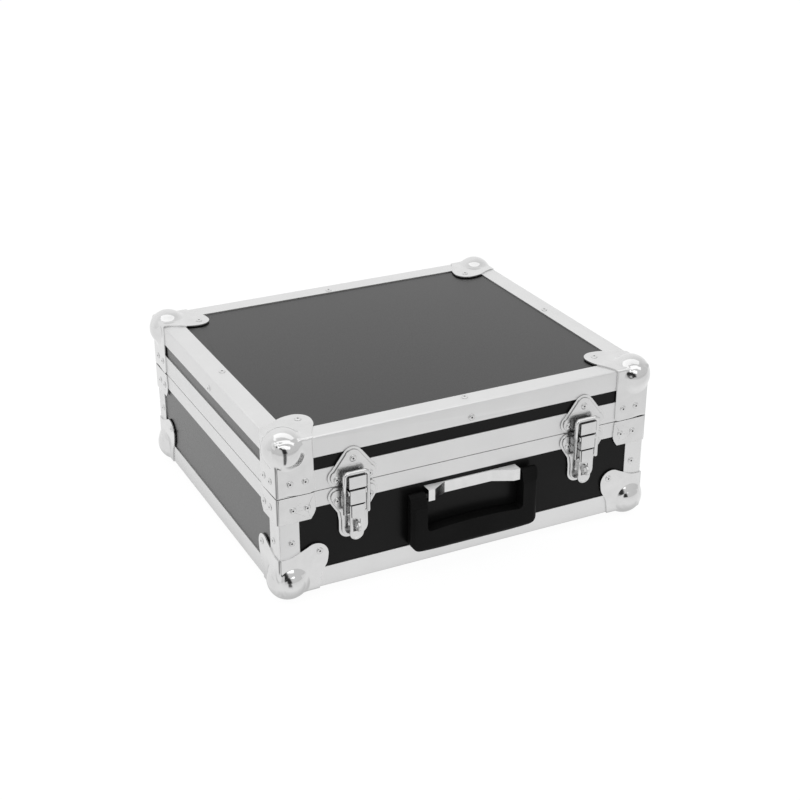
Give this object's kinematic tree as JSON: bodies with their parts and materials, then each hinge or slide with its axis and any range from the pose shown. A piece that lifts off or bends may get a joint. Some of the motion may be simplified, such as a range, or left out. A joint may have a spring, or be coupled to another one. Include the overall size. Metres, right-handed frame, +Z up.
{
  "type": "flight case",
  "caption": "Black laminated flight case with aluminium edging, ball corners, hinged lid, two toggle latches with padlock eyes and a folding handle",
  "frame": {"origin": "centre of the underside of the whole part's bounding box, on the floor it stands on", "axes": "+X to the right along the front, +Y from the front to the hinges at the back, +Z up; mm in the source, metres here"},
  "size_m": [0.3988, 0.3614, 0.1688],
  "materials": {
    "laminate": "plywood faced with fine-grained black semi-gloss laminate",
    "edging": "satin anodised aluminium extrusion",
    "plated_steel": "bright nickel or zinc plated pressed steel",
    "plastic": "black moulded plastic"
  },
  "bodies": {
    "base": {"base_floor": "laminate", "base_front_panel": "laminate", "base_back_panel": "laminate", "base_left_panel": "laminate", "base_right_panel": "laminate", "base_front_rim": "edging", "base_back_rim": "edging", "base_left_rim": "edging", "base_right_rim": "edging", "base_front_angle": "edging", "base_back_angle": "edging", "base_left_angle": "edging", "base_right_angle": "edging", "base_uprights": "edging", "base_corner_fl": "plated_steel", "base_corner_fr": "plated_steel", "base_corner_bl": "plated_steel", "base_corner_br": "plated_steel", "corner_braces": "plated_steel", "latch_plate_left": "plated_steel", "latch_plate_right": "plated_steel", "latch_staple_left": "plated_steel", "latch_staple_right": "plated_steel", "latch_axles": "plated_steel", "handle_bracket": "plated_steel", "handle_pins": "plated_steel", "hinge_base_leaves": "plated_steel", "hinge_pins": "plated_steel", "base_rivets": "plated_steel"},
    "lid": {"lid_top_panel": "laminate", "lid_front_panel": "laminate", "lid_back_panel": "laminate", "lid_left_panel": "laminate", "lid_right_panel": "laminate", "lid_front_rim": "edging", "lid_back_rim": "edging", "lid_left_rim": "edging", "lid_right_rim": "edging", "lid_front_angle": "edging", "lid_back_angle": "edging", "lid_left_angle": "edging", "lid_right_angle": "edging", "lid_corner_fl": "plated_steel", "lid_corner_fr": "plated_steel", "lid_corner_bl": "plated_steel", "lid_corner_br": "plated_steel", "latch_keeper_left": "plated_steel", "latch_keeper_right": "plated_steel", "hinge_lid_leaves": "plated_steel", "lid_rivets": "plated_steel"},
    "left_lever": {"latch_lever_left": "plated_steel"},
    "right_lever": {"latch_lever_right": "plated_steel"},
    "left_bail": {"latch_bail_left": "plated_steel"},
    "right_bail": {"latch_bail_right": "plated_steel"},
    "handle": {"handle_grip": "plastic"}
  },
  "joints": [
    {"name": "lid_hinge", "type": "hinge", "parent": "base", "child": "lid", "pos_m": [0, 0.17346, 0.1077], "axis": [-1, 0, 0], "range_deg": [0, 95]},
    {"name": "left_latch_lever", "type": "hinge", "parent": "base", "child": "left_lever", "pos_m": [-0.12, -0.17354, 0.1031], "axis": [-1, 0, 0], "range_deg": [0, 100]},
    {"name": "left_latch_bail", "type": "hinge", "parent": "left_lever", "child": "left_bail", "pos_m": [-0.12, -0.17354, 0.0826], "axis": [1, 0, 0], "range_deg": [0, 120]},
    {"name": "right_latch_lever", "type": "hinge", "parent": "base", "child": "right_lever", "pos_m": [0.12, -0.17354, 0.1031], "axis": [-1, 0, 0], "range_deg": [0, 100]},
    {"name": "right_latch_bail", "type": "hinge", "parent": "right_lever", "child": "right_bail", "pos_m": [0.12, -0.17354, 0.0826], "axis": [1, 0, 0], "range_deg": [0, 120]},
    {"name": "handle_fold", "type": "hinge", "parent": "base", "child": "handle", "pos_m": [0, -0.16934, 0.0792], "axis": [-1, 0, 0], "range_deg": [0, 100]}
  ],
  "couplings": [
    {"joint": "left_latch_bail", "follows": "left_latch_lever", "ratio": 1.2},
    {"joint": "right_latch_bail", "follows": "right_latch_lever", "ratio": 1.2}
  ]
}
